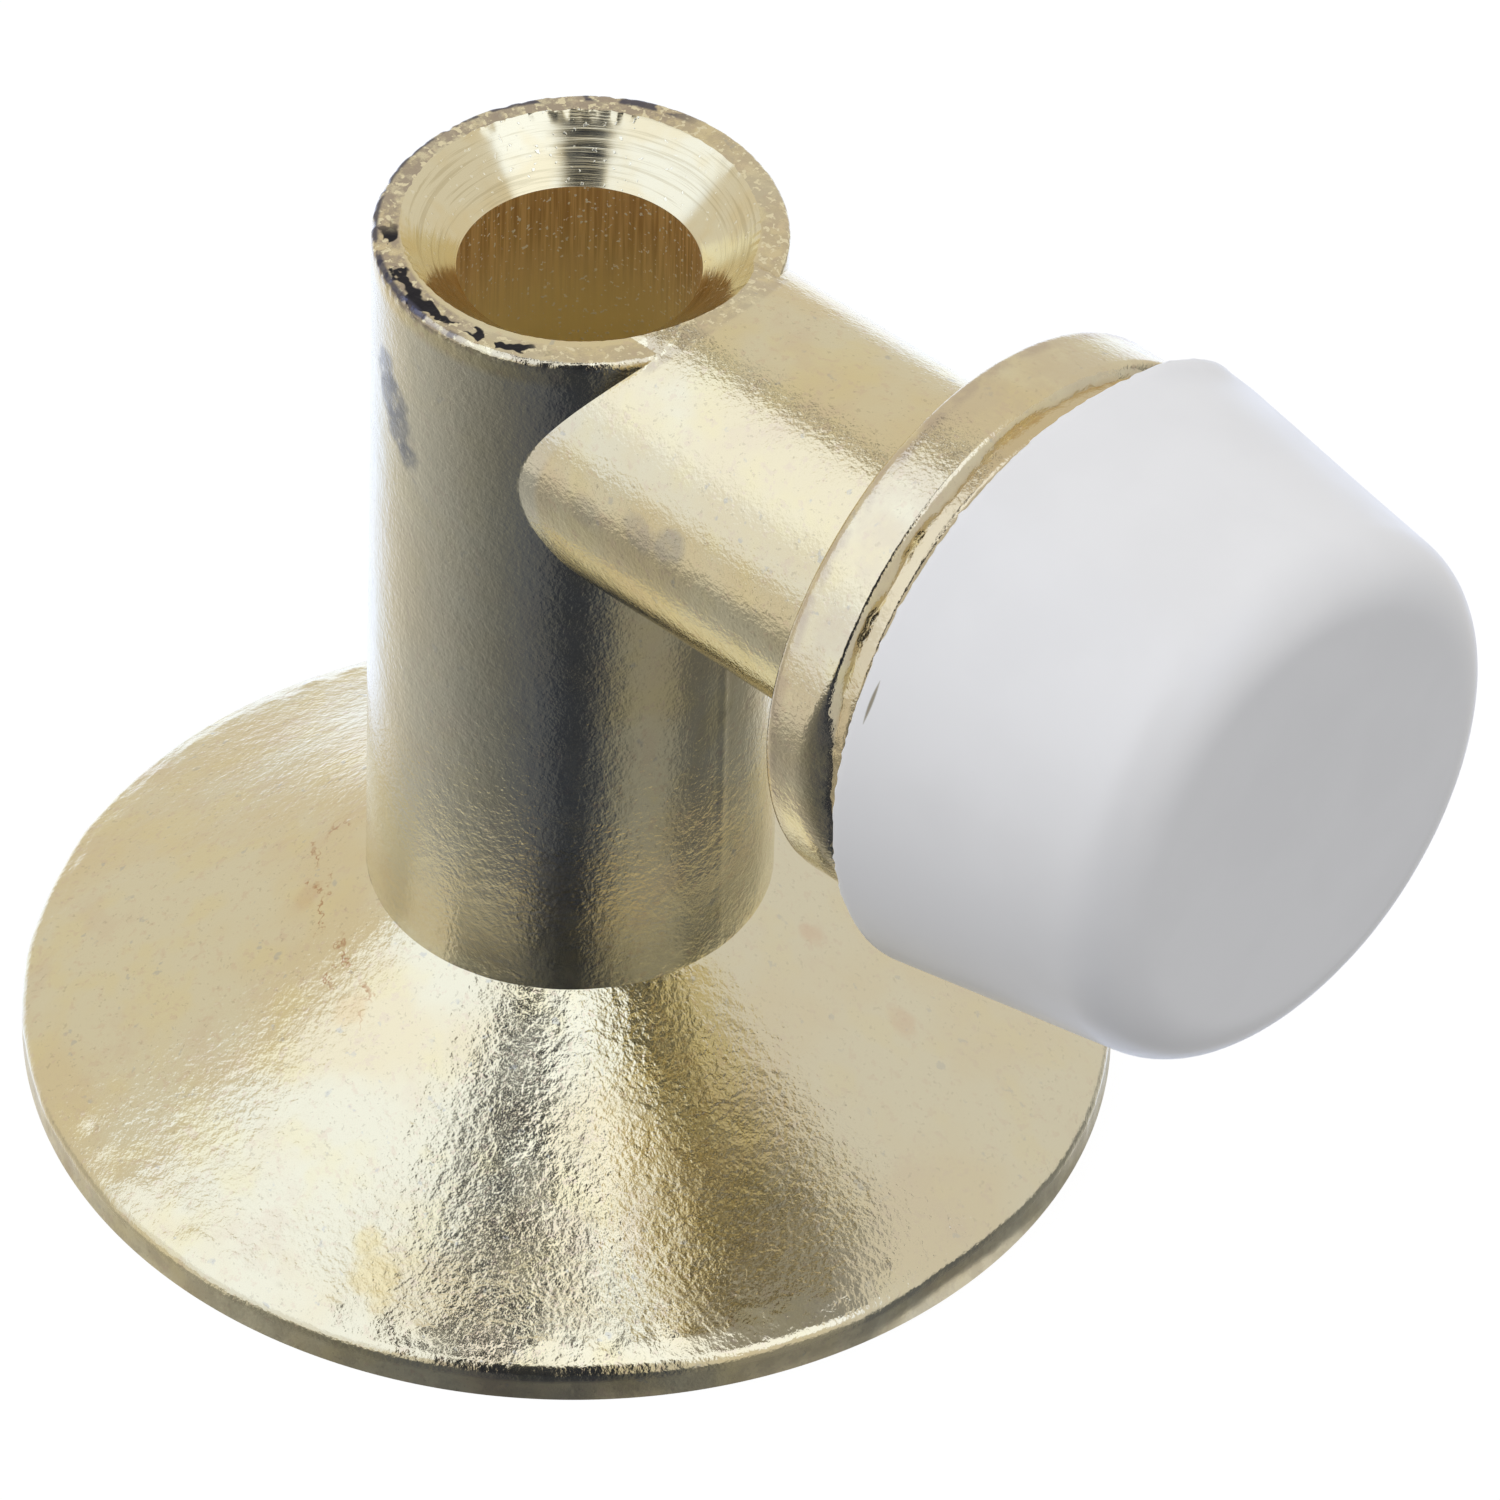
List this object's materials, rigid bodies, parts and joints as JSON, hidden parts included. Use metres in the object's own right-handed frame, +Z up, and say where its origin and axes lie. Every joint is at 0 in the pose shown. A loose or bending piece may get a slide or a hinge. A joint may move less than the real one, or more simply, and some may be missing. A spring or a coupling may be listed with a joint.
{
  "type": "door stop",
  "caption": "Floor-mounted door stop: cast brass post with a side arm on a conical floor flange, and a white rubber bumper.",
  "frame": {"origin": "centre of the bounding box at floor level; the post's axis stands 7.025 mm from it towards -X", "axes": "+X along the arm towards the bumper's striking face, +Z up along the post"},
  "size_m": [0.0522, 0.0382, 0.0417],
  "materials": {
    "cast_brass": "satin, tumbled casting with faint stains, unlacquered",
    "flange_brass": "satin, lightly hammered by tumbling",
    "white_rubber": "smooth moulded, low sheen"
  },
  "bodies": {
    "stop": {"body_casting": "cast_brass", "base_flange": "flange_brass"},
    "bumper": {"rubber_bumper": "white_rubber"}
  },
  "joints": [
    {"name": "bumper_pull", "type": "slide", "parent": "stop", "child": "bumper", "axis": [1, 0, 0], "range_m": [0, 0.012]}
  ]
}
